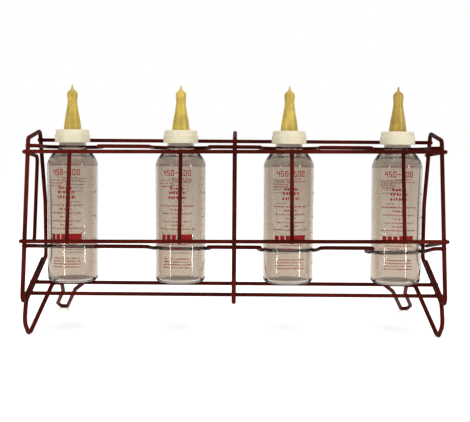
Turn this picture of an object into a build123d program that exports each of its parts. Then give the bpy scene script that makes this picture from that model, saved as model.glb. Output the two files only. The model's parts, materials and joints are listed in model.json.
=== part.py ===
"""Four-bottle feeding rack for young stock, with its bottles, screw collars and teats.

Frame: X runs along the rack, Y from the front guard to the back, Z up from the floor.
The bottles stand on the line Y = 0. Millimetres throughout.
"""

from build123d import *
import math
import os

# --- driving dimensions -------------------------------------------------------------------

FRAME_WIRE = 5.0            # diameter of the three upright frames' wire
RAIL_WIRE = 4.5             # diameter of every rail, the guard and its uprights
WELD = 0.4                  # how far two welded wires sink into each other
END_ROUND = 0.9             # rounding of a cut wire end under its paint

FRAME_X = 240.5             # plane of each end frame, either side of the centre frame
BOTTLE_PITCH = 130.5        # spacing of the bottles
BOTTLE_X = [(index - 1.5) * BOTTLE_PITCH for index in range(4)]

BOTTLE_RADIUS = 30.4
BOTTLE_WALL = 1.6
BOTTLE_BASE_Z = 58.1        # underside of a standing bottle
SHOULDER_Z = 198.0          # where the straight body ends
NECK_Z = 216.8              # where the shoulder runs into the neck
NECK_TOP_Z = 236.1
NECK_RADIUS = 16.2          # root of the neck's thread
NECK_BORE = 13.6

COLLAR_BOTTOM_Z = 225.1
COLLAR_TOP_Z = 240.8
COLLAR_RADIUS = 20.9
COLLAR_STEP_RADIUS = 19.9
COLLAR_BORE = 18.4          # root of the collar's thread
COLLAR_ROOF = 2.2
COLLAR_HOLE = 11.0
THREAD_PITCH = 4.0
THREAD_TURNS = 1.25
THREAD_START_Z = 227.0
NECK_THREAD_CREST = 17.6
COLLAR_THREAD_CREST = 16.9

TEAT_TIP_Z = 294.3
TEAT_WALL = 1.8
TEAT_FLANGE_RADIUS = 15.6
TEAT_FLANGE = 2.0
RUNNING_GAP = 0.25          # clearance between the neck's rim, the flange and the collar

# --- side outline of the frames, as (Y, Z) --------------------------------------------------

TOP_FRONT = (-39.5, 229.9)
TOP_REAR = (26.0, 239.0)
REAR_BEND = (56.0, 150.0)
FRONT_BOTTOM = (-77.3, 40.4)
DIAGONAL_RISE = 0.34        # rise of the sloping foot of each frame per unit of depth
DIAGONAL_Y, DIAGONAL_Z = 30.0, 74.2     # a point midway between the two doubled wires


def diagonal(y, side):
    """Centre of the upper (side +1) or lower (side -1) of the two doubled wires at depth y."""
    across = side * FRAME_WIRE / 2 * math.hypot(1, DIAGONAL_RISE)
    return DIAGONAL_Z + across + DIAGONAL_RISE * (y - DIAGONAL_Y)


def on_front_wire(z):
    """Depth of the frames' front wire at height z."""
    share = (z - FRONT_BOTTOM[1]) / (TOP_FRONT[1] - FRONT_BOTTOM[1])
    return FRONT_BOTTOM[0] + share * (TOP_FRONT[0] - FRONT_BOTTOM[0])


def on_rear_wire(z):
    """Depth of the frames' rear wire at height z, above its bend."""
    share = (z - REAR_BEND[1]) / (TOP_REAR[1] - REAR_BEND[1])
    return REAR_BEND[0] + share * (TOP_REAR[0] - REAR_BEND[0])


STAND_OFF = (FRAME_WIRE + RAIL_WIRE) / 2 - WELD     # centre distance of a rail on a frame

KINK = (59.0, diagonal(59.0, -1))
FRONT_CORNER = (FRONT_BOTTOM[0], diagonal(FRONT_BOTTOM[0], 1))


def bent_wire(points, radii, diameter):
    """A round wire bent along straight runs and arcs, its two cut ends softened."""
    with BuildPart() as wire:
        with BuildLine() as route:
            if radii:
                FilletPolyline(*points, radius=radii)
            else:
                Line(*points)
        with BuildSketch(Plane(origin=route.line @ 0, z_dir=route.line % 0)):
            Circle(diameter / 2)
        sweep()
        ends = wire.faces().filter_by(GeomType.PLANE).edges()
        fillet(ends, END_ROUND)
    return wire


def save(piece, label):
    """Name a finished piece and write it out."""
    piece.part.label = label
    export_step(piece.part, f"parts/{label}.step")


os.makedirs("parts", exist_ok=True)

# --- the rails that lie under the sloping feet of the frames ---------------------------------

RAIL_DROP = FRAME_WIRE + RAIL_WIRE / 2 - WELD       # below the middle of the doubled wires
RAIL_OVERHANG = 7.3                                 # past the plane of an end frame


def under_diagonal(y):
    """Centre of a bottom rail that hangs under the doubled wires near depth y."""
    slope = math.atan(DIAGONAL_RISE)
    middle = DIAGONAL_Z + DIAGONAL_RISE * (y - DIAGONAL_Y)
    return (y + RAIL_DROP * math.sin(slope), middle - RAIL_DROP * math.cos(slope))


REAR_RAIL = under_diagonal(-5.2)
FRONT_RAIL = under_diagonal(-32.7)

for label, (rail_y, rail_z) in {"rear_bottom_rail": REAR_RAIL, "front_bottom_rail": FRONT_RAIL}.items():
    half = FRAME_X + RAIL_OVERHANG
    save(bent_wire([(-half, rail_y, rail_z), (half, rail_y, rail_z)], None, RAIL_WIRE), label)

# --- end frames: one wire each, doubled along the slope, then bent into both feet -------------

FOOT_Z = FRAME_WIRE / 2                             # lowest run of each foot's centre line
REAR_FOOT_Y = 139.0
ARCH_Y = REAR_RAIL[0] + STAND_OFF
ARCH_Z = REAR_RAIL[1] - 1.2
REAR_FOOT_FALL = (ARCH_Z - FOOT_Z) / (REAR_FOOT_Y - ARCH_Y)


def rear_loop(x, y):
    """A point of the rear foot's loop, which lies in one plane falling back from the rail."""
    return (x, y, ARCH_Z - REAR_FOOT_FALL * (y - ARCH_Y))


def end_frame(side):
    """The end frame on one side of the rack, side being +1 or -1."""
    upright_loop = [
        (FRAME_X, 38.0, diagonal(38.0, 1)),
        (FRAME_X, *FRONT_CORNER),
        (FRAME_X, *TOP_FRONT),
        (FRAME_X, *TOP_REAR),
        (FRAME_X, *REAR_BEND),
        (FRAME_X, *KINK),
    ]
    front_foot = [
        (FRAME_X, -57.0, diagonal(-57.0, -1)),
        (FRAME_X, -66.0, 18.0),
        (FRAME_X, -46.5, FOOT_Z),
        (239.5, -38.0, FOOT_Z),
        (220.6, ARCH_Y, ARCH_Z),
        (210.0, ARCH_Y, ARCH_Z),
    ]
    rear_foot = [
        rear_loop(216.5, 45.0),
        rear_loop(237.5, 119.0),
        rear_loop(236.5, REAR_FOOT_Y),
        rear_loop(228.0, REAR_FOOT_Y),
        rear_loop(199.6, 36.0),
        rear_loop(183.0, ARCH_Y - 1.6),
    ]
    points = [(side * x, y, z) for x, y, z in upright_loop + front_foot + rear_foot]
    radii = [7.0, 7.0, 7.0, 40.0, 9.0, 14.0, 13.0, 6.0, 6.0, 4.5, 4.5, 40.0, 8.0, 4.0, 4.0, 60.0]
    return bent_wire(points, radii, FRAME_WIRE)


save(end_frame(-1), "left_end_frame")
save(end_frame(1), "right_end_frame")

# --- centre frame: the same outline, closed by a short doubled stretch, with no feet ----------

centre_outline = [
    (0, 18.0, diagonal(18.0, 1)),
    (0, *FRONT_CORNER),
    (0, *TOP_FRONT),
    (0, *TOP_REAR),
    (0, *REAR_BEND),
    (0, *KINK),
    (0, -44.0, diagonal(-44.0, -1)),
]
save(bent_wire(centre_outline, [7.0, 7.0, 7.0, 40.0, 9.0], FRAME_WIRE), "centre_frame")

# --- rear top rail, welded behind the frames --------------------------------------------------

REAR_TOP_Z = 228.0
rear_top_y = on_rear_wire(REAR_TOP_Z) + STAND_OFF + 0.2
rear_top_ends = [(-FRAME_X - 4.5, rear_top_y, REAR_TOP_Z), (FRAME_X + 4.5, rear_top_y, REAR_TOP_Z)]
save(bent_wire(rear_top_ends, None, RAIL_WIRE), "rear_top_rail")

# --- front guard: one wire, two long rails joined by a drop on the left -----------------------

GUARD_TOP_Z, GUARD_LOW_Z = 217.0, 114.6    # its rails' heights at the right end
GUARD_LEAN = 2.8                        # how much lower the left end is welded
SIDE_X = FRAME_X + STAND_OFF            # the side bars run outside the end frames


def guard_point(x, z, behind):
    """A point at x in line with the guard's rails, z being its height at the right end."""
    leaning_z = z - GUARD_LEAN * (SIDE_X - x) / (2 * SIDE_X)
    return (x, on_front_wire(leaning_z) - STAND_OFF + behind, leaning_z)


guard_points = [
    (SIDE_X, 71.0, 211.9),
    guard_point(SIDE_X, GUARD_TOP_Z, 0),
    guard_point(-SIDE_X, GUARD_TOP_Z, 0),
    (-SIDE_X, 31.0, 208.0),
    (-SIDE_X, 9.5, 104.5),
    guard_point(-SIDE_X, GUARD_LOW_Z, 0),
    guard_point(SIDE_X, GUARD_LOW_Z, 0),
    (SIDE_X, 57.0, 97.0),
]
guard_radii = [5.0, 5.0, 7.0, 7.0, 5.0, 5.0]
save(bent_wire(guard_points, guard_radii, RAIL_WIRE), "front_guard_wire")

# --- four short uprights, welded behind the guard's rails -------------------------------------

UPRIGHT_SPREAD = 0.99       # their spacing against the bottles'
UPRIGHT_SHIFT = 1.8         # how far the row of uprights stands to the right
RAIL_ON_RAIL = RAIL_WIRE - WELD
for index, bottle_x in enumerate(BOTTLE_X, start=1):
    x = bottle_x * UPRIGHT_SPREAD + UPRIGHT_SHIFT
    ends = [guard_point(x, z, RAIL_ON_RAIL) for z in (GUARD_TOP_Z + 1.5, GUARD_LOW_Z - 3.2)]
    save(bent_wire(ends, None, RAIL_WIRE), f"front_upright_{index}")

# --- cradle rails: each goes back round the four bottles and forward again --------------------

BAY_RADIUS = 35.2           # centre line of the wire round a bottle
BAY_FRONT_BEND = 9.0


def cradle_rail(front_z, fall, fall_growth):
    """A wavy rail behind the frames' front wires.

    fall is how much lower its bays lie at the back, fall_growth how much that grows from the
    first bottle to the last.
    """
    front_y = on_front_wire(front_z) + STAND_OFF
    end_x = FRAME_X + 2.6
    points, radii = [(-end_x, front_y, front_z)], []
    for index, x in enumerate(BOTTLE_X):
        back_z = front_z - fall - fall_growth * index / 3
        left, right = x - BAY_RADIUS, x + BAY_RADIUS
        points += [(left, front_y, front_z), (left, BAY_RADIUS, back_z)]
        points += [(right, BAY_RADIUS, back_z), (right, front_y, front_z)]
        radii += [BAY_FRONT_BEND, BAY_RADIUS - 0.6, BAY_RADIUS - 0.6, BAY_FRONT_BEND]
    points.append((end_x, front_y, front_z))
    return bent_wire(points, radii, RAIL_WIRE)


save(cradle_rail(221.0, 1.6, 0.0), "upper_cradle_rail")
save(cradle_rail(106.0, 10.5, 5.0), "lower_cradle_rail")


# --- bottle, collar and teat ------------------------------------------------------------------

def thread(root, crest, start_z, turns, width, x):
    """A screw thread's ridge round the axis at x, from its root radius to its crest."""
    sink = 0.3 if crest > root else -0.3
    with BuildPart() as ridge:
        with BuildLine() as helix:
            Helix(THREAD_PITCH, THREAD_PITCH * turns, root, center=(x, 0, start_z))
        start = Plane(origin=helix.line @ 0, x_dir=(1, 0, 0), z_dir=helix.line % 0)
        with BuildSketch(start):
            with BuildLine():
                Polyline((-sink, -width / 2), (crest - root, -width / 4), (crest - root, width / 4),
                         (-sink, width / 2), close=True)
            make_face()
        sweep(is_frenet=True)
    return ridge


def bottle(x):
    """A hollow bottle with a raised punt under it, a domed shoulder and a threaded neck."""
    inner = BOTTLE_RADIUS - BOTTLE_WALL
    base = BOTTLE_BASE_Z
    with BuildPart() as body:
        with BuildSketch(Plane.XZ):
            with BuildLine():
                Polyline((0, base + 3.0), (18.0, base + 2.2), (23.0, base), (BOTTLE_RADIUS - 5.0, base))
                RadiusArc((BOTTLE_RADIUS - 5.0, base), (BOTTLE_RADIUS, base + 5.0), -5.0)
                Line((BOTTLE_RADIUS, base + 5.0), (BOTTLE_RADIUS, SHOULDER_Z))
                Spline((BOTTLE_RADIUS, SHOULDER_Z), (26.6, 208.2), (NECK_RADIUS + 2.2, NECK_Z),
                       tangents=[(0, 1), (-1, 0.45)])
                Polyline((NECK_RADIUS + 2.2, NECK_Z), (NECK_RADIUS, NECK_Z + 2.0),
                         (NECK_RADIUS, NECK_TOP_Z), (NECK_BORE, NECK_TOP_Z), (NECK_BORE, NECK_Z - 1.5))
                Spline((NECK_BORE, NECK_Z - 1.5), (25.0, 206.7), (inner, SHOULDER_Z - 1.0),
                       tangents=[(1, -0.45), (0, -1)])
                Line((inner, SHOULDER_Z - 1.0), (inner, base + 6.6))
                RadiusArc((inner, base + 6.6), (inner - 4.0, base + 2.6), 4.0)
                Polyline((inner - 4.0, base + 2.6), (17.6, base + 4.4), (0, base + 5.2), (0, base + 3.0))
            make_face()
        revolve(axis=Axis.Z)
    ridge = thread(NECK_RADIUS, NECK_THREAD_CREST, THREAD_START_Z, THREAD_TURNS, 1.9, x)
    with BuildPart() as piece:
        add(body.part.moved(Location((x, 0, 0))))
        add(ridge.part)
    return piece


def collar(x):
    """The screw collar: a stepped ring with a flat roof, open in the middle for the teat."""
    outer, bore = COLLAR_RADIUS, COLLAR_BORE
    step_z = COLLAR_TOP_Z - 6.2
    with BuildPart() as ring:
        with BuildSketch(Plane.XZ):
            with BuildLine():
                Polyline((bore, COLLAR_BOTTOM_Z), (outer - 0.5, COLLAR_BOTTOM_Z), (outer, COLLAR_BOTTOM_Z + 0.5),
                         (outer, step_z - 0.4), (COLLAR_STEP_RADIUS, step_z + 0.4),
                         (COLLAR_STEP_RADIUS, COLLAR_TOP_Z - 2.2))
                RadiusArc((COLLAR_STEP_RADIUS, COLLAR_TOP_Z - 2.2),
                          (COLLAR_STEP_RADIUS - 2.2, COLLAR_TOP_Z), -2.2)
                Polyline((COLLAR_STEP_RADIUS - 2.2, COLLAR_TOP_Z), (COLLAR_HOLE, COLLAR_TOP_Z),
                         (COLLAR_HOLE, COLLAR_TOP_Z - COLLAR_ROOF), (bore, COLLAR_TOP_Z - COLLAR_ROOF),
                         (bore, COLLAR_BOTTOM_Z))
            make_face()
        revolve(axis=Axis.Z)
    ridge = thread(bore, COLLAR_THREAD_CREST, THREAD_START_Z + THREAD_PITCH / 2, 1.0, 1.9, x)
    with BuildPart() as piece:
        add(ring.part.moved(Location((x, 0, 0))))
        add(ridge.part)
    return piece


def teat(x):
    """A hollow rubber teat: a flange that the collar clamps, a waist, a bulb and a nib."""
    flange_z = NECK_TOP_Z + RUNNING_GAP
    top = flange_z + TEAT_FLANGE
    stem = COLLAR_HOLE - 0.5
    with BuildPart() as piece:
        with BuildSketch(Plane.XZ):
            with BuildLine():
                Polyline((stem - TEAT_WALL, flange_z), (TEAT_FLANGE_RADIUS, flange_z),
                         (TEAT_FLANGE_RADIUS, top), (stem, top), (stem, COLLAR_TOP_Z + 1.5))
                Spline((stem, COLLAR_TOP_Z + 1.5), (8.6, 253.8), (5.9, 272.3), (6.5, 282.8), (2.2, 288.6),
                       tangents=[(0, 1), (-1, 0.25)])
                Polyline((2.2, 288.6), (1.6, TEAT_TIP_Z - 0.5), (0.9, TEAT_TIP_Z), (0, TEAT_TIP_Z),
                         (0, 285.8))
                Spline((0, 285.8), (3.6, 284.2), (4.6, 279.8), (4.1, 270.8), (6.6, 254.8), (8.4, 243.8),
                       (stem - TEAT_WALL, flange_z))
            make_face()
        revolve(axis=Axis.Z)
    piece.part = piece.part.moved(Location((x, 0, 0)))
    return piece


for index, x in enumerate(BOTTLE_X, start=1):
    save(bottle(x), f"bottle_{index}")
    save(collar(x), f"collar_{index}")
    save(teat(x), f"teat_{index}")
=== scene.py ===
"""Looks of a welded wire rack with four feeding bottles, their screw collars and teats.

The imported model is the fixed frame. Every new piece is a surface worked out with numpy in the
model's own axes: X along the rack, Y from the front guard to the back, Z up. Metres throughout.
"""

import json
import logging
import math
from dataclasses import dataclass, field
from enum import Enum
from typing import Callable

import bmesh
import bpy
import numpy as np
from mathutils import Matrix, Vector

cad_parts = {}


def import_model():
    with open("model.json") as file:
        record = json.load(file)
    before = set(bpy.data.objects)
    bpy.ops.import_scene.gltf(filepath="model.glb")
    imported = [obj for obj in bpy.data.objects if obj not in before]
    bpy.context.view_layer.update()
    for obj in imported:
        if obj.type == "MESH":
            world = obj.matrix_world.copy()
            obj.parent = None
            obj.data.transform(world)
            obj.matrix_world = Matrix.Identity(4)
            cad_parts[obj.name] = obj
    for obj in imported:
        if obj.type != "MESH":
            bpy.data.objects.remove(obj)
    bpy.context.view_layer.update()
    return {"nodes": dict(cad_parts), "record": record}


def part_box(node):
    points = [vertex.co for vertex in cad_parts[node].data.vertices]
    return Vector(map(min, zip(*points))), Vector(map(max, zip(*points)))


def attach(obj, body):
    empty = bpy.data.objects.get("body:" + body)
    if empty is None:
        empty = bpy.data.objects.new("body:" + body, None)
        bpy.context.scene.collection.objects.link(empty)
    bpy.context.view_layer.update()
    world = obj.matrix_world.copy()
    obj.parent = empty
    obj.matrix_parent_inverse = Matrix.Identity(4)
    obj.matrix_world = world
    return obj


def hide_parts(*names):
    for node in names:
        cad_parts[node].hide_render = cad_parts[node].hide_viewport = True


LOG = logging.getLogger("rack")
MM = 0.001
BOTTLES = 4


# --- shader writing ---------------------------------------------------------------------------


class Expr:
    """A shader value that Python's arithmetic extends with Math nodes."""

    def __init__(self, tree: "Tree", socket: bpy.types.NodeSocket) -> None:
        """Wraps one output socket.

        Args:
            tree: the material's tree that new Math nodes go into.
            socket: the output socket that carries the value.
        """
        self.tree = tree
        self.socket = socket

    def _math(self, operation: str, *values: "Expr | float") -> "Expr":
        """Adds one Math node and returns its value.

        Args:
            operation: the Math node's operation.
            values: its inputs in order, sockets or plain numbers.

        Returns:
            The node's value.
        """
        return self.tree.add("ShaderNodeMath", {"operation": operation}, *values)

    def __add__(self, other: "Expr | float") -> "Expr":
        """Sum."""
        return self._math("ADD", self, other)

    def __sub__(self, other: "Expr | float") -> "Expr":
        """Difference."""
        return self._math("SUBTRACT", self, other)

    def __rsub__(self, other: float) -> "Expr":
        """Difference from a plain number."""
        return self._math("SUBTRACT", other, self)

    def __mul__(self, other: "Expr | float") -> "Expr":
        """Product."""
        return self._math("MULTIPLY", self, other)

    __radd__ = __add__
    __rmul__ = __mul__

    def step(self, low: float, high: float) -> "Expr":
        """A smooth step from 0 at low to 1 at high.

        Args:
            low: the value where the step starts.
            high: the value where it ends.

        Returns:
            The step's value, from 0 to 1.
        """
        settings = {"interpolation_type": "SMOOTHSTEP"}
        return self.tree.add("ShaderNodeMapRange", settings, self, low, high, 0.0, 1.0)


class Tree:
    """The node tree of a new material or world, with one method that makes every node."""

    def __init__(self, owner: "bpy.types.Material | bpy.types.World") -> None:
        """Empties the owner's tree.

        Args:
            owner: the new material or world.
        """
        owner.use_nodes = True
        self.owner = owner
        self.nodes = owner.node_tree.nodes
        self.links = owner.node_tree.links
        self.nodes.clear()

    @classmethod
    def material(cls, name: str) -> "Tree":
        """Starts a material of that name."""
        return cls(bpy.data.materials.new(name))

    def add(
        self, kind: str, settings: dict, *values: object, out: int = 0, **named: object
    ) -> Expr:
        """Makes one node.

        Args:
            kind: the node's type.
            settings: its own settings, set first.
            values: inputs in order, each an Expr, a number, a colour, or None to leave it.
            out: which output is returned.
            named: inputs by name, with underscores for spaces.

        Returns:
            The chosen output.
        """
        node = self.nodes.new(kind)
        for key, value in settings.items():
            setattr(node, key, value)
        inputs = [(node.inputs[i], v) for i, v in enumerate(values) if v is not None]
        inputs += [(node.inputs[key.replace("_", " ")], v) for key, v in named.items()]
        for socket, value in inputs:
            if isinstance(value, Expr):
                self.links.new(value.socket, socket)
            else:
                socket.default_value = value
        return Expr(self, node.outputs[out]) if node.outputs else Expr(self, None)

    def place(self) -> Expr:
        """The point in the piece's own coordinates, in metres."""
        return self.add("ShaderNodeTexCoord", {}, out=3)

    def axis(self, index: int) -> Expr:
        """One coordinate of the point, 0 for X to 2 for Z."""
        return self.add("ShaderNodeSeparateXYZ", {}, self.place(), out=index)

    def noise(self, scale: float, detail: float = 3.0, stretch: tuple = (1, 1, 1)) -> Expr:
        """Soft random blotches.

        Args:
            scale: blotches per metre.
            detail: how many finer layers are added.
            stretch: factors on the three coordinates.

        Returns:
            A value around one half.
        """
        point = self.add("ShaderNodeMapping", {}, self.place(), Scale=stretch)
        return self.add("ShaderNodeTexNoise", {}, point, Scale=scale, Detail=detail)

    def mix(self, share: "Expr | float", first: object, second: object) -> Expr:
        """A colour between two colours.

        Args:
            share: 0 for the first colour, 1 for the second.
            first: a colour or an Expr that carries one.
            second: a colour or an Expr that carries one.

        Returns:
            The mixed colour.
        """
        colours = [v if isinstance(v, Expr) else (*v, 1.0) for v in (first, second)]
        node = self.nodes.new("ShaderNodeMix")
        node.data_type = "RGBA"
        sockets = [node.inputs[index] for index in (0, 6, 7)]
        for socket, value in zip(sockets, (share, *colours)):
            if isinstance(value, Expr):
                self.links.new(value.socket, socket)
            else:
                socket.default_value = value
        return Expr(self, node.outputs[2])

    def bump(self, height: Expr, distance: float, strength: float = 1.0) -> Expr:
        """A normal from a height.

        Args:
            height: the height, 0 to 1.
            distance: metres that a height of 1 stands for.
            strength: how much of it is used.

        Returns:
            The normal.
        """
        return self.add("ShaderNodeBump", {}, Strength=strength, Distance=distance, Height=height)

    def finish(self, **inputs: object) -> bpy.types.Material:
        """Adds the surface shader and its output.

        Args:
            inputs: the shader's inputs by name, with underscores for spaces.

        Returns:
            The finished material.
        """
        shader = self.add("ShaderNodeBsdfPrincipled", {}, **inputs)
        self.add("ShaderNodeOutputMaterial", {}, shader)
        return self.owner


@dataclass(frozen=True)
class PaintedWire:
    """Dark enamel over drawn steel wire, nearly matt, chipped in places."""

    deep: tuple = (0.038, 0.0042, 0.0026)
    fresh: tuple = (0.088, 0.0088, 0.0052)
    worn: tuple = (0.020, 0.009, 0.007)

    def material(self) -> bpy.types.Material:
        """The paint: two reds in long streaks, shallow runs and small dark chips."""
        tree = Tree.material("painted_wire")
        streaks = tree.noise(14.0, 4.0, (0.6, 1.0, 1.0)).step(0.36, 0.66)
        pores = tree.noise(420.0, 2.0)
        chips = tree.noise(95.0, 5.0).step(0.66, 0.72)
        red = tree.mix(streaks, self.deep, self.fresh)
        mottled = tree.mix(pores.step(0.35, 0.75) * 0.35, red, self.deep)
        colour = tree.mix(chips * 0.85, mottled, self.worn)
        rough = 0.30 + pores * 0.16 + chips * 0.28
        runs = tree.noise(60.0, 2.0) * 0.7 + pores * 0.2 - chips * 0.5
        return tree.finish(
            Base_Color=colour,
            Roughness=rough,
            Specular_IOR_Level=0.006,
            Normal=tree.bump(runs, 0.00035, 0.6),
        )


@dataclass(frozen=True)
class ClearPlastic:
    """Clear bottle plastic with a faint warm grey cast."""

    tint: tuple = (0.647, 0.582, 0.515)
    milky: tuple = (0.595, 0.528, 0.456)

    def material(self) -> bpy.types.Material:
        """The wall: see-through, glossy, a little cloudier in soft vertical bands."""
        tree = Tree.material("clear_bottle")
        bands = tree.noise(26.0, 2.0, (1.0, 1.0, 0.15)).step(0.35, 0.70)
        scuffs = tree.noise(240.0, 4.0, (1.0, 1.0, 0.35)).step(0.60, 0.80)
        flow = tree.noise(38.0, 1.0, (1.0, 1.0, 0.25))
        return tree.finish(
            Base_Color=tree.mix(bands, self.tint, self.milky),
            Roughness=0.008 + scuffs * 0.03,
            Normal=tree.bump(flow, 0.0004, 0.08),
            Transmission_Weight=0.985,
            IOR=1.36,
        )


@dataclass(frozen=True)
class CollarPlastic:
    """Cream moulded plastic."""

    light: tuple = (0.665, 0.600, 0.432)
    shade: tuple = (0.530, 0.460, 0.315)

    def material(self) -> bpy.types.Material:
        """The collar: fine rings from the mould, a fine grain and a few stains."""
        tree = Tree.material("collar_plastic")
        height = tree.axis(2)
        rings = tree.add("ShaderNodeMath", {"operation": "SINE"}, height * 6500.0) * 0.5 + 0.5
        stains = tree.noise(90.0, 4.0).step(0.52, 0.78)
        colour = tree.mix(stains * 0.45, self.light, self.shade)
        grain = tree.noise(900.0, 2.0)
        return tree.finish(
            Base_Color=colour,
            Roughness=0.36 + stains * 0.14,
            Subsurface_Weight=0.12,
            Subsurface_Radius=(0.004, 0.003, 0.002),
            Subsurface_Scale=1.0,
            Normal=tree.bump(rings * 0.5 + grain * 0.35, 0.00012, 0.7),
        )


@dataclass(frozen=True)
class TeatRubber:
    """Amber latex rubber."""

    name: str
    light: tuple = (0.540, 0.395, 0.060)
    shade: tuple = (0.365, 0.250, 0.026)

    def material(self) -> bpy.types.Material:
        """The rubber: cloudy amber, darker flecks and a fine dipped skin."""
        tree = Tree.material(self.name)
        clouds = tree.noise(70.0, 4.0).step(0.34, 0.72)
        flecks = tree.noise(650.0, 3.0).step(0.64, 0.76)
        skin = tree.noise(380.0, 3.0)
        colour = tree.mix(clouds, self.light, self.shade)
        return tree.finish(
            Base_Color=tree.mix(flecks * 0.35, colour, self.shade),
            Roughness=0.26 + skin * 0.16,
            Subsurface_Weight=0.18,
            Subsurface_Radius=(0.006, 0.0035, 0.001),
            Subsurface_Scale=1.0,
            Normal=tree.bump(skin, 0.00025, 0.5),
        )


@dataclass(frozen=True)
class PrintInk:
    """Red ink screened on the bottles."""

    full: tuple = (0.200, 0.003, 0.004)
    thin: tuple = (0.260, 0.010, 0.010)

    def material(self) -> bpy.types.Material:
        """The ink: a dense red that thins out in specks."""
        tree = Tree.material("print_ink")
        specks = tree.noise(1300.0, 3.0).step(0.50, 0.72)
        return tree.finish(
            Base_Color=tree.mix(specks, self.full, self.thin),
            Roughness=0.42 + specks * 0.2,
            Specular_IOR_Level=0.12,
            Normal=tree.bump(specks, 0.00004, 0.5),
        )


@dataclass(frozen=True)
class PalePaper:
    """The pale studio floor, lit a little from below like a light table."""

    tone: tuple = (0.93, 0.93, 0.93, 1.0)
    glow: float = 0.46

    def material(self) -> bpy.types.Material:
        """The floor: plain and matt."""
        tree = Tree.material("pale_floor")
        glow = {"Emission_Color": self.tone, "Emission_Strength": self.glow}
        return tree.finish(Base_Color=self.tone, Roughness=0.9, Specular_IOR_Level=0.0, **glow)


# --- surfaces ---------------------------------------------------------------------------------


def make_mesh(
    name: str, points: np.ndarray, faces: np.ndarray, crease: float = 40.0
) -> bpy.types.Object:
    """Puts a worked-out surface into a smooth-shaded mesh object at the origin.

    Args:
        name: the object's name.
        points: the vertices, one row each.
        faces: quads or triangles as rows of four vertex numbers; a triangle repeats its last.
        crease: edges that turn more than this many degrees stay sharp.

    Returns:
        The new object.
    """
    mesh = bpy.data.meshes.new(name)
    rows = [tuple(dict.fromkeys(row)) for row in faces.tolist()]
    mesh.from_pydata(points.tolist(), [], rows)
    mesh.polygons.foreach_set("use_smooth", np.ones(len(rows), dtype=bool))
    mesh.set_sharp_from_angle(angle=math.radians(crease))
    mesh.update()
    piece = bpy.data.objects.new(name, mesh)
    bpy.context.scene.collection.objects.link(piece)
    return piece


def grid_faces(rows: int, columns: int, wrap_rows: bool = False) -> np.ndarray:
    """Quads of a grid whose columns close on themselves.

    Args:
        rows: number of rows of points.
        columns: number of points in each row, which is a closed ring.
        wrap_rows: whether the last row also joins the first.

    Returns:
        One row of four vertex numbers for each quad.
    """
    first = np.arange(rows if wrap_rows else rows - 1)[:, None]
    ring = np.arange(columns)[None, :]
    after, beside = (first + 1) % rows, (ring + 1) % columns
    corners = [first * columns + ring, first * columns + beside]
    corners += [after * columns + beside, after * columns + ring]
    return np.stack(corners, axis=-1).reshape(-1, 4)


def arc(centre: tuple, radius: float, start: float, end: float, count: int) -> np.ndarray:
    """Points of a circular arc: the centre plus the radius times cosine and sine of the angle.

    Args:
        centre: the arc's centre.
        radius: its radius.
        start: first angle in degrees.
        end: last angle in degrees.
        count: number of points.

    Returns:
        The points, one row each.
    """
    angle = np.radians(np.linspace(start, end, count))
    return np.array(centre) + radius * np.stack([np.cos(angle), np.sin(angle)], axis=1)


def curve(start: tuple, out: tuple, into: tuple, end: tuple, count: int) -> np.ndarray:
    """Points of a cubic Bezier curve: the four corners weighted by Bernstein's polynomials.

    Args:
        start: first point.
        out: the handle that the curve leaves towards.
        into: the handle that it arrives from.
        end: last point.
        count: number of points.

    Returns:
        The points, one row each.
    """
    t = np.linspace(0.0, 1.0, count)[:, None]
    weights = ((1 - t) ** 3, 3 * t * (1 - t) ** 2, 3 * t**2 * (1 - t), t**3)
    return sum(w * np.array(p, dtype=float) for w, p in zip(weights, (start, out, into, end)))


def through(*points: tuple, count: int) -> np.ndarray:
    """A smooth curve through points: a Catmull-Rom spline, cubic between neighbours.

    Args:
        points: what the curve passes through, in order.
        count: points in each stretch.

    Returns:
        The points, one row each.
    """
    p = np.array([points[0], *points, points[-1]], dtype=float)
    t = np.linspace(0.0, 1.0, count, endpoint=False)[None, :, None]
    a, b, c, d = (p[i : len(p) - 3 + i, None, :] for i in range(4))
    square, cube = 2 * a - 5 * b + 4 * c - d, 3 * b - a - 3 * c + d
    spline = 0.5 * (2 * b + (c - a) * t + square * t**2 + cube * t**3)
    return np.vstack([spline.reshape(-1, 2), p[-1:]])


def densify(profile: np.ndarray, longest: float) -> np.ndarray:
    """Adds points along a profile's runs so that none is longer than a limit.

    Args:
        profile: the corners, one row each.
        longest: the longest run that may stay.

    Returns:
        The profile with its added points.
    """
    lengths = np.hypot(*np.diff(profile, axis=0).T)
    counts = np.maximum(1, np.ceil(lengths / longest).astype(int))
    steps = [i + np.arange(n) / n for i, n in enumerate(counts)]
    at = np.concatenate([*steps, [len(profile) - 1.0]])
    whole = np.arange(len(profile))
    return np.stack([np.interp(at, whole, profile[:, k]) for k in (0, 1)], axis=1)


Bulge = Callable[[np.ndarray, np.ndarray, np.ndarray], np.ndarray]


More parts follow.
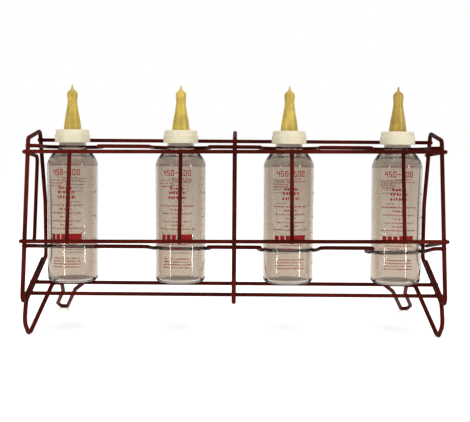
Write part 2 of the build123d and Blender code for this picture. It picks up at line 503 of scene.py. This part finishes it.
def revolve(
    name: str, profile: np.ndarray, x: float, ring: int, bulge: Bulge, poles: bool
) -> bpy.types.Object:
    """Turns a profile round the vertical line at x.

    A point of the surface is the profile's radius, plus the bulge there, times cosine and sine
    of the ring's angle, at the profile's height.

    Args:
        name: the object's name.
        profile: radius and height in millimetres, outer side first, from bottom to top.
        x: where the axis stands, in metres.
        ring: points round the axis.
        bulge: extra radius in millimetres from radius, height and angle.
        poles: whether both ends of the profile lie on the axis; otherwise it is a closed loop.

    Returns:
        The new object.
    """
    angle = np.linspace(0.0, 2 * math.pi, ring, endpoint=False)[None, :]
    body = profile[1:-1] if poles else profile
    radius, height = body[:, :1], np.repeat(body[:, 1:], ring, axis=1)
    reach = radius + bulge(radius, height, angle)
    points = np.stack([reach * np.cos(angle), reach * np.sin(angle), height], axis=-1)
    points = points.reshape(-1, 3)
    faces = grid_faces(len(body), ring, wrap_rows=not poles)
    if poles:
        low, high = len(points), len(points) + 1
        points = np.vstack([points, [0.0, 0.0, profile[0, 1]], [0.0, 0.0, profile[-1, 1]]])
        around = np.arange(ring)
        beside = (around + 1) % ring
        last = (len(body) - 1) * ring
        bottom = np.stack([np.full(ring, low), beside, around, around], axis=1)
        top = np.stack([np.full(ring, high), last + around, last + beside, last + beside], axis=1)
        faces = np.vstack([faces, bottom, top])
    points = points * MM + np.array([x, 0.0, 0.0])
    return make_mesh(name, points, faces)


def flat_bulge(radius: np.ndarray, height: np.ndarray, angle: np.ndarray) -> np.ndarray:
    """No extra radius anywhere."""
    return np.zeros(np.broadcast_shapes(radius.shape, height.shape, angle.shape))


@dataclass(frozen=True)
class Thread:
    """A right-hand screw ridge on a cylinder, in millimetres."""

    root: float
    crest: float
    start: float
    turns: float
    pitch: float = 4.0
    width: float = 1.9
    run_out: float = 0.08

    def bulge(self, radius: np.ndarray, height: np.ndarray, angle: np.ndarray) -> np.ndarray:
        """Extra radius of the ridge.

        The ridge's height falls off on flat flanks with the distance, along the axis, from
        the helix, whose height grows by one pitch for each turn. Its two ends run out.

        Args:
            radius: the surface's own radius.
            height: height above the floor.
            angle: angle round the axis, in radians.

        Returns:
            The extra radius, negative for an inner thread.
        """
        total = np.zeros(np.broadcast_shapes(radius.shape, height.shape, angle.shape))
        for whole in range(math.ceil(self.turns)):
            turned = whole + angle / (2 * math.pi)
            off = np.abs(height - self.start - self.pitch * turned)
            flank = np.clip((self.width / 2 - off) / (self.width / 4), 0.0, 1.0)
            ends = np.clip(np.minimum(turned, self.turns - turned) / self.run_out, 0.0, 1.0)
            total = np.maximum(total, flank * ends)
        on_root = np.abs(radius - self.root) < 0.01
        return np.where(on_root, total * (self.crest - self.root), 0.0)


# --- the rack ---------------------------------------------------------------------------------


@dataclass
class Rack:
    """The welded rack: its wires are the model's own, merged and painted, plus the welds."""

    nodes: dict
    frame_wire: float = 5.0
    rail_wire: float = 4.5
    end_x: float = 240.5
    front_low: tuple = (-77.3, 40.4)
    front_high: tuple = (-39.5, 229.9)
    rear_bend: tuple = (56.0, 150.0)
    rear_high: tuple = (26.0, 239.0)
    guard_heights: tuple = (217.0, 114.6)
    guard_lean: float = 2.8
    cradle_heights: tuple = (221.0, 106.0)
    sink: float = 0.4

    def names(self) -> list:
        """The names of the rack's wires."""
        return list(FRAME["record"]["behaviour"]["bodies"]["rack"])

    def paint_wires(self, paint: bpy.types.Material) -> None:
        """Merges a copy of each wire, smooths it and paints it.

        Args:
            paint: the wires' finish.
        """
        for name in self.names():
            copy = self.nodes[name].data.copy()
            work = bmesh.new()
            work.from_mesh(copy)
            bmesh.ops.remove_doubles(work, verts=work.verts, dist=1e-6)
            bmesh.ops.recalc_face_normals(work, faces=work.faces)
            work.to_mesh(copy)
            work.free()
            if "custom_normal" in copy.attributes:
                copy.attributes.remove(copy.attributes["custom_normal"])
            copy.polygons.foreach_set("use_smooth", np.ones(len(copy.polygons), dtype=bool))
            copy.set_sharp_from_angle(angle=math.radians(50.0))
            copy.materials.clear()
            copy.materials.append(paint)
            piece = bpy.data.objects.new(f"painted_{name}", copy)
            bpy.context.scene.collection.objects.link(piece)
            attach(piece, "rack")
            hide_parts(name)
            LOG.info("wire %s", piece.name)

    def on_front(self, z: float) -> float:
        """Depth of the frames' front wire at a height."""
        (y0, z0), (y1, z1) = self.front_low, self.front_high
        return y0 + (z - z0) / (z1 - z0) * (y1 - y0)

    def guard_at(self, x: float, z: float) -> float:
        """Height of the guard's rail at x, z being its height at the right end."""
        side = self.end_x + (self.frame_wire + self.rail_wire) / 2 - self.sink
        return z - self.guard_lean * (side - x) / (2 * side)

    def on_rear(self, z: float) -> float:
        """Depth of the frames' rear wire at a height above its bend."""
        (y0, z0), (y1, z1) = self.rear_bend, self.rear_high
        return y0 + (z - z0) / (z1 - z0) * (y1 - y0)

    def weld_points(self) -> np.ndarray:
        """Where wires cross: one row each of place and the weld's reach along each axis."""
        frames = (-self.end_x, 0.0, self.end_x)
        touch = self.frame_wire / 2 - self.sink / 2
        rows = []
        for x in frames:
            guard = [self.guard_at(x, z) for z in self.guard_heights]
            rows += [(x, self.on_front(z) - touch, z, 3.3, 1.3, 3.0) for z in guard]
            rows += [(x, self.on_front(z) + touch, z, 3.3, 1.3, 3.0) for z in self.cradle_heights]
            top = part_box("rear_top_rail")
            rail_z = (top[0].z + top[1].z) / 2 / MM
            rows.append((x, self.on_rear(rail_z) + touch, rail_z, 3.3, 1.3, 3.0))
            for name in ("rear_bottom_rail", "front_bottom_rail"):
                low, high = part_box(name)
                y, z = (low.y + high.y) / 2 / MM, (low.z + high.z) / 2 / MM
                lift = self.rail_wire / 2 - self.sink / 2
                rows.append((x, y - lift * 0.32, z + lift * 0.95, 3.3, 3.0, 1.3))
        for index in range(1, BOTTLES + 1):
            low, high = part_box(f"front_upright_{index}")
            x = (low.x + high.x) / 2 / MM
            lean = (high.y - low.y - self.rail_wire * MM) / (high.z - low.z)
            for z in (self.guard_at(x, height) for height in self.guard_heights):
                y = (low.y / MM + self.rail_wire / 2) + lean * (z - low.z / MM)
                rows.append((x, y - self.rail_wire / 2 + self.sink / 2, z, 2.8, 1.2, 2.8))
        return np.array(rows)

    def add_welds(self, paint: bpy.types.Material) -> None:
        """Adds a painted bead at every crossing.

        A bead is a lumpy ellipsoid: its reach along each axis times the unit sphere, swollen
        by a few slow waves whose phases differ from bead to bead.

        Args:
            paint: the wires' finish.
        """
        rows, ring, bands = self.weld_points(), 20, 12
        turn = np.linspace(0.0, 2 * math.pi, ring, endpoint=False)[None, None, :]
        rise = np.linspace(0.0, math.pi, bands + 1)[None, 1:-1, None]
        phase = np.arange(len(rows))[:, None, None] * 1.7
        lumps = 0.09 * np.sin(3 * turn + phase) * np.sin(2 * rise + phase)
        swell = 1 + lumps + 0.06 * np.cos(5 * turn - phase)
        flat, upright = swell * np.sin(rise), swell * np.cos(rise)
        unit = np.stack([flat * np.cos(turn), flat * np.sin(turn), upright], axis=-1)
        beads = rows[:, None, None, :3] + unit * rows[:, None, None, 3:]
        beads = beads.reshape(len(rows), -1, 3)
        caps = rows[:, None, :3] + rows[:, None, 3:] * np.array([[0, 0, 1], [0, 0, -1]])[None]
        points = np.concatenate([beads, caps], axis=1)
        shell = grid_faces(bands - 1, ring)[:, ::-1]
        around = np.arange(ring)
        beside = (around + 1) % ring
        last = (bands - 2) * ring
        count = (bands - 1) * ring
        top = np.stack([np.full(ring, count), around, beside, beside], axis=1)
        low = [np.full(ring, count + 1), last + beside, last + around, last + around]
        each = np.vstack([shell, top, np.stack(low, axis=1)])
        offsets = (np.arange(len(rows)) * points.shape[1])[:, None, None]
        faces = (each[None] + offsets).reshape(-1, 4)
        piece = make_mesh("weld_beads", points.reshape(-1, 3) * MM, faces, crease=80.0)
        piece.data.materials.append(paint)
        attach(piece, "rack")
        LOG.info("%d weld beads", len(rows))


# --- bottle sets ------------------------------------------------------------------------------


class Mark(Enum):
    """The seven strokes of a plain numeral, as left, low, right and high shares of its box."""

    TOP = (0.0, 0.86, 1.0, 1.0)
    MIDDLE = (0.0, 0.43, 1.0, 0.57)
    BOTTOM = (0.0, 0.0, 1.0, 0.14)
    HIGH_LEFT = (0.0, 0.5, 0.26, 1.0)
    HIGH_RIGHT = (0.74, 0.5, 1.0, 1.0)
    LOW_LEFT = (0.0, 0.0, 0.26, 0.5)
    LOW_RIGHT = (0.74, 0.0, 1.0, 0.5)


ALL_MARKS = tuple(Mark)
NUMERALS = {
    "0": tuple(m for m in ALL_MARKS if m is not Mark.MIDDLE),
    "1": (Mark.HIGH_RIGHT, Mark.LOW_RIGHT),
    "2": (Mark.TOP, Mark.HIGH_RIGHT, Mark.MIDDLE, Mark.LOW_LEFT, Mark.BOTTOM),
    "3": (Mark.TOP, Mark.HIGH_RIGHT, Mark.MIDDLE, Mark.LOW_RIGHT, Mark.BOTTOM),
    "4": (Mark.HIGH_LEFT, Mark.HIGH_RIGHT, Mark.MIDDLE, Mark.LOW_RIGHT),
    "5": (Mark.TOP, Mark.HIGH_LEFT, Mark.MIDDLE, Mark.LOW_RIGHT, Mark.BOTTOM),
    "-": (Mark.MIDDLE,),
}


@dataclass
class PrintLayout:
    """The print on a bottle, as rectangles of arc length and height in millimetres.

    It holds plain numerals, graduation ticks, rules and rows of dashes, and no lettering.
    """

    seed: int
    rects: list = field(default_factory=list)

    def bar(self, left: float, low: float, right: float, high: float) -> None:
        """Adds one rectangle."""
        self.rects.append((left, low, right, high))

    def numerals(self, text: str, left: float, low: float, width: float, height: float) -> None:
        """Adds a row of numerals.

        Args:
            text: what it shows.
            left: arc length of its left side.
            low: height of its foot.
            width: width of one numeral.
            height: height of one numeral.
        """
        for place, sign in enumerate(text):
            start = left + place * width * 1.36
            for mark in NUMERALS[sign]:
                a, b, c, d = mark.value
                self.bar(start + a * width, low + b * height, start + c * width, low + d * height)

    def dashes(self, rows: list, tall: float, longest: float, middle: float = 0.0) -> None:
        """Adds rows of dashes.

        Args:
            rows: height and half length of each row.
            tall: a dash's height.
            longest: a dash's greatest length.
            middle: arc length of the rows' middle.
        """
        draw = np.random.default_rng(self.seed)
        for z, half in rows:
            at = middle - half
            while at < middle + half:
                end = min(at + longest * draw.uniform(0.35, 1.0), middle + half)
                self.bar(at, z - tall / 2, end, z + tall * draw.uniform(0.2, 0.5))
                at = end + draw.uniform(0.5, 1.8)

    def front(self) -> None:
        """The front: rules, a heading of numerals, rows of dashes, a solid band and more rows."""
        self.bar(-24.0, 199.0, 22.0, 199.6)
        self.numerals("450-500", -17.4, 186.6, 3.7, 7.0)
        self.dashes([(183.9, 9.0)], 1.3, 1.9, 4.0)
        self.dashes([(180.8, 20.0)], 1.4, 1.9, -1.0)
        self.dashes([(177.4, 9.5), (174.0, 8.5)], 1.4, 1.9, -13.0)
        self.dashes([(171.9, 8.5), (166.8, 10.0), (161.0, 10.5)], 3.4, 2.6)
        wide = [(151.2, 21.0), (142.0, 18.5), (132.6, 17.5), (123.8, 22.0)]
        narrow = [(146.6, 8.0), (137.4, 6.5), (128.3, 7.5)]
        self.dashes(wide + narrow, 1.7, 1.9)
        self.bar(1.0, 109.2, 18.5, 117.4)
        for start in (-19.5, -12.8, -6.1):
            self.bar(start, 109.8, start + 5.2, 116.8)
        self.dashes([(105.4, 15.0), (100.8, 10.0)], 1.5, 1.9)
        self.dashes([(88.2, 16.0), (84.8, 16.0), (81.4, 17.0), (77.9, 17.0)], 1.6, 2.0)

    def scale(self, left: float) -> None:
        """The graduation: a tick each 9.3 mm, every third longer with its numeral.

        Args:
            left: arc length of the ticks' left end.
        """
        for step in range(13):
            z = 72.3 + step * 9.33
            major = step % 3 == 1
            self.bar(left, z, left + (5.6 if major else 3.0), z + 0.55)
            if major:
                self.numerals(str(step // 3 + 1), left + 6.6, z - 1.2, 1.9, 3.4)

    def back(self) -> None:
        """The back: five close rows of dashes, a short row and a block of three."""
        middle = math.pi * 30.4 + 6.0
        self.dashes([(181.0 - 3.9 * i, 15.0 - i) for i in range(5)], 1.4, 1.9, middle)
        self.dashes([(152.0, 6.0), (96.0, 14.0), (92.4, 14.0), (88.8, 12.0)], 1.2, 1.9, middle)


@dataclass
class BottleSet:
    """One bottle with its print, screw collar and teat, all turned round one upright axis."""

    index: int
    turned: float
    lip: float = 236.1
    shoulder: float = 198.0
    neck_root: float = 16.2
    neck_bore: float = 13.6
    wall: float = 1.6
    ink: float = 0.09
    x: float = field(init=False)
    base: float = field(init=False)
    radius: float = field(init=False)

    def __post_init__(self) -> None:
        """Reads the axis, the base and the radius from the model's own bottle."""
        low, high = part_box(f"bottle_{self.index}")
        self.x = (low.x + high.x) / 2
        self.base = low.z / MM
        self.radius = (high.x - low.x) / 2 / MM

    def dress(self, piece: bpy.types.Object, body: str, slot: str, *nodes: str) -> None:
        """Makes a piece move with its body and stand for its nodes.

        Args:
            piece: the new piece.
            body: what it moves with.
            slot: the record's material slot, which is not used.
            nodes: the model's nodes that it stands for.
        """
        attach(piece, f"{body}_{self.index}")
        if nodes:
            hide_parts(*nodes)
        LOG.info("piece %s, %d faces", piece.name, len(piece.data.polygons))

    def build_bottle(self, plastic: bpy.types.Material) -> None:
        """The hollow bottle: foot ring, straight body, domed shoulder and threaded neck.

        Args:
            plastic: its finish.
        """
        r, b, inner = self.radius, self.base, self.radius - self.wall
        root, bore = self.neck_root, self.neck_bore
        outside = [
            [(0.0, b + 3.0), (10.0, b + 2.8), (18.0, b + 2.2), (21.6, b + 0.8), (23.0, b)],
            arc((r - 5.0, b + 5.0), 5.0, -90.0, 0.0, 10),
            [(r, self.shoulder)],
            curve((r, self.shoulder), (r, 202.9), (24.31, 214.05), (18.2, 216.8), 18)[1:],
            [(17.1, 217.2), (16.5, 217.9), (root, 218.8), (root, self.lip - 0.5)],
            arc((root - 0.5, self.lip - 0.5), 0.5, 0.0, 90.0, 4)[1:],
        ]
        inside = [
            [(bore + 0.4, self.lip), (bore, self.lip - 0.4), (bore, 215.3)],
            curve((bore, 215.3), (23.72, 210.75), (inner, 203.0), (inner, 197.0), 18)[1:],
            [(inner, b + 6.6)],
            arc((inner - 4.0, b + 6.6), 4.0, 0.0, -90.0, 8)[1:],
            [(21.0, b + 3.2), (17.6, b + 4.4), (9.0, b + 5.0), (0.0, b + 5.2)],
        ]
        low = np.vstack([np.array(part, dtype=float) for part in outside])
        high = np.vstack([np.array(part, dtype=float) for part in inside])
        neck = densify(low[-5:], 0.3)
        body = densify(low[:-4], 5.0)
        profile = np.vstack([body[:-1], neck, densify(high, 5.0)])
        ridge = Thread(root, 17.6, 227.0, 1.25)
        piece = revolve(f"clear_bottle_{self.index}", profile, self.x, 144, ridge.bulge, poles=True)
        piece.data.materials.append(plastic)
        self.dress(piece, "bottle_body", "clear_bottle", f"bottle_{self.index}")

    def build_print(self, ink: bpy.types.Material) -> None:
        """The print: each mark is a thin closed tile bent round the bottle.

        A tile's point lies at the wall's radius, a little in or out of it, at an angle of its
        arc length over that radius from the front, which is the bottle's own turn.

        Args:
            ink: its finish.
        """
        layout = PrintLayout(seed=11 + self.index)
        layout.front()
        layout.scale(33.0)
        layout.back()
        cut = 6
        rects = np.array(layout.rects)
        share = np.linspace(0.0, 1.0, cut + 1)
        along = rects[:, :1] + (rects[:, 2:3] - rects[:, :1]) * share
        angle = along / self.radius + math.radians(self.turned - 90.0)
        rings = []
        for depth, column in ((self.ink, 1), (self.ink, 3), (-0.03, 3), (-0.03, 1)):
            reach = self.radius + depth
            z = np.repeat(rects[:, column : column + 1], cut + 1, axis=1)
            rings.append(np.stack([reach * np.cos(angle), reach * np.sin(angle), z], axis=-1))
        points = np.stack(rings, axis=2)
        sections = np.arange(cut)[:, None] * 4
        side = np.arange(4)[None, :]
        beside = (side + 1) % 4
        wall = [sections + side, sections + 4 + side, sections + 4 + beside, sections + beside]
        ends = np.array([[0, 1, 2, 3], [cut * 4 + 3, cut * 4 + 2, cut * 4 + 1, cut * 4]])
        each = np.vstack([np.stack(wall, axis=-1).reshape(-1, 4), ends])
        offsets = (np.arange(len(rects)) * (cut + 1) * 4)[:, None, None]
        faces = (each[None] + offsets).reshape(-1, 4)
        points = points.reshape(-1, 3) * MM + np.array([self.x, 0.0, 0.0])
        piece = make_mesh(f"bottle_print_{self.index}", points, faces)
        piece.data.materials.append(ink)
        self.dress(piece, "bottle_body", "print_ink")

    def build_collar(self, plastic: bpy.types.Material) -> None:
        """The screw collar: a stepped ring with two fine grooves, a rounded rim and a thread.

        Args:
            plastic: its finish.
        """
        low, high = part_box(f"collar_{self.index}")
        bottom, top, r = low.z / MM, high.z / MM, (high.x - low.x) / 2 / MM
        inner, step = r - 1.0, top - 6.2
        loop = [
            [(18.4, bottom), (r - 0.5, bottom), (r - 0.15, bottom + 0.15), (r, bottom + 0.5)],
            [(r, bottom + 2.0), (r - 0.22, bottom + 2.25), (r, bottom + 2.5)],
            [(r, step - 1.9), (r - 0.22, step - 1.65), (r, step - 1.4)],
            [(r, step - 0.5), (r - 0.1, step - 0.15)],
            [(inner + 0.25, step + 0.2), (inner, step + 0.55)],
            arc((inner - 2.2, top - 2.2), 2.2, 0.0, 90.0, 9),
            [(11.5, top), (11.1, top - 0.15), (11.0, top - 0.5), (11.0, top - 2.2)],
            [(18.2, top - 2.2), (18.4, top - 2.4)],
        ]
        profile = np.vstack([np.array(part, dtype=float) for part in loop])
        bore = densify(np.array([(18.4, top - 2.4), (18.4, bottom)]), 0.3)
        profile = np.vstack([profile[:-1], bore[:-1]])
        ridge = Thread(18.4, 16.9, 229.0, 1.0)
        name = f"screw_collar_{self.index}"
        piece = revolve(name, profile, self.x, 120, ridge.bulge, poles=False)
        piece.data.materials.append(plastic)
        self.dress(piece, "collar_body", "collar_plastic", f"collar_{self.index}")

    def build_teat(self, rubber: bpy.types.Material) -> None:
        """The teat: a hollow dipped cone with a flange, a waist, a bulb and a nib.

        Args:
            rubber: its finish.
        """
        low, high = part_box(f"teat_{self.index}")
        flange, tip = low.z / MM, high.z / MM
        outside = [
            [(15.3, flange), (15.6, flange + 0.3), (15.6, flange + 1.7), (15.3, flange + 2.0)],
            [(11.0, flange + 2.0), (10.5, flange + 2.5)],
            through((10.5, 242.3), (9.2, 251.8), (7.4, 262.3), (5.95, 271.8),
                    (5.85, 276.3), (6.45, 281.3), (5.5, 285.8), (3.0, 288.0),
                    (1.75, 289.2), (1.35, 290.6), count=6),
            [(0.95, tip - 1.2), (0.7, tip - 0.3), (0.35, tip), (0.0, tip)],
        ]
        inside = [
            [(0.0, 285.8), (2.0, 285.5)],
            through((3.6, 284.2), (4.6, 280.3), (4.1, 273.8), (4.6, 266.8), (6.6, 254.8),
                    (8.4, 243.8), count=6),
            [(8.7, flange + 0.3), (9.0, flange)],
        ]
        shell = np.vstack([np.array(part, dtype=float) for part in inside])
        outer = np.vstack([np.array(part, dtype=float) for part in outside])
        under = densify(np.array([(9.0, flange), (15.3, flange)]), 2.0)[1:-1]
        profile = np.vstack([shell, under, outer])
        piece = revolve(f"rubber_teat_{self.index}", profile, self.x, 72, flat_bulge, poles=True)
        piece.data.materials.append(rubber)
        self.dress(piece, "teat_body", "teat_rubber", f"teat_{self.index}")


# --- studio -----------------------------------------------------------------------------------


@dataclass
class Studio:
    """The pale floor, the soft lights and the camera."""

    floor_size: float = 300.0
    eye: tuple = (0.0034, -1.1366, 0.2198)
    pitch: float = 3.83
    yaw: float = 0.14
    roll: float = 0.40
    lens: float = 72.05
    sky_seen: float = 1.0
    sky_felt: float = 0.62

    def add_floor(self) -> None:
        """A flat square floor that ends far behind the rack."""
        half = self.floor_size / 2
        sides = ((-half, -half), (half, -half), (half, half), (-half, half))
        points = np.array([(x, y, 0.0) for x, y in sides])
        floor = make_mesh("pale_floor", points, np.array([[0, 1, 2, 3]]))
        floor.data.materials.append(PalePaper().material())

    def add_light(self, name: str, place: tuple, aim: tuple, size: tuple, power: float) -> None:
        """Adds one soft rectangular light.

        Args:
            name: its name.
            place: where it stands.
            aim: the point that it faces.
            size: its width and height.
            power: its power in watts.
        """
        lamp = bpy.data.lights.new(name, "AREA")
        lamp.shape, lamp.energy = "RECTANGLE", power
        lamp.size, lamp.size_y = size
        holder = bpy.data.objects.new(name, lamp)
        towards = np.array(aim) - np.array(place)
        towards = towards / np.linalg.norm(towards)
        side = np.cross(towards, (0.0, 0.0, 1.0))
        side = side / np.linalg.norm(side)
        up = np.cross(side, towards)
        turn = Matrix(np.column_stack([side, up, -towards]).tolist()).to_4x4()
        holder.matrix_world = Matrix.Translation(place) @ turn
        bpy.context.scene.collection.objects.link(holder)

    def add_lights(self) -> None:
        """Two tall soft boxes, one overhead, two low strips and an even pale sky.

        The sky lights the rack less than it shows, as a white sheet far behind it would.
        """
        middle = (0.0, 0.0, 0.15)
        self.add_light("soft_box_right", (1.7, -1.4, 0.85), middle, (0.35, 1.2), 14.0)
        self.add_light("soft_box_left", (-1.3, -1.55, 0.85), middle, (0.25, 1.1), 8.0)
        self.add_light("overhead", (0.1, -0.3, 2.2), middle, (1.6, 1.0), 18.0)
        low = (0.0, 0.0, 0.038)
        self.add_light("low_strip_right", (0.42, -0.30, 0.038), low, (0.03, 0.07), 0.18)
        self.add_light("low_strip_left", (-0.37, -0.33, 0.038), low, (0.02, 0.07), 0.12)
        world = bpy.data.worlds.new("even_sky")
        bpy.context.scene.world = world
        tree = Tree(world)
        white = (1.0, 1.0, 1.0, 1.0)
        seen = tree.add("ShaderNodeBackground", {}, white, self.sky_seen)
        felt = tree.add("ShaderNodeBackground", {}, white, self.sky_felt)
        straight = tree.add("ShaderNodeLightPath", {})
        sky = tree.add("ShaderNodeMixShader", {}, straight, felt, seen)
        tree.add("ShaderNodeOutputWorld", {}, sky)
        bpy.context.scene.view_settings.view_transform = "Standard"

    def add_camera(self) -> None:
        """The camera, turned by yaw, then tipped down by pitch, then rolled."""
        lens = bpy.data.cameras.new("camera")
        lens.lens, lens.sensor_width = self.lens, 36.0
        camera = bpy.data.objects.new("camera", lens)
        turn = Matrix.Rotation(math.radians(self.yaw), 4, "Z")
        tip = Matrix.Rotation(math.radians(90.0 - self.pitch), 4, "X")
        bank = Matrix.Rotation(math.radians(self.roll), 4, "Z")
        camera.matrix_world = Matrix.Translation(self.eye) @ turn @ tip @ bank
        bpy.context.scene.collection.objects.link(camera)
        bpy.context.scene.camera = camera


def corners(pair: tuple) -> list:
    """A box's two corners as plain lists of numbers."""
    return [list(map(float, corner)) for corner in pair]


def main() -> None:
    """Builds and dresses every sub-assembly in order."""
    logging.basicConfig(level=logging.INFO, format="%(name)s: %(message)s")
    studio = Studio()
    studio.add_camera()
    paint = PaintedWire().material()
    rack = Rack(FRAME["nodes"])
    rack.paint_wires(paint)
    rack.add_welds(paint)
    clear, cream, ink = ClearPlastic().material(), CollarPlastic().material(), PrintInk().material()
    amber = TeatRubber("teat_rubber").material()
    dark = TeatRubber("teat_rubber_dark", (0.395, 0.262, 0.030), (0.255, 0.160, 0.014))
    dark_amber = dark.material()
    for index, turned in enumerate((-5.5, -4.8, 2.9, -3.5), start=1):
        bottle = BottleSet(index, turned)
        bottle.build_bottle(clear)
        bottle.build_print(ink)
        bottle.build_collar(cream)
        bottle.build_teat(dark_amber if index == BOTTLES else amber)
    studio.add_floor()
    studio.add_lights()


if __name__ == "__main__":
    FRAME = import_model()
    main()
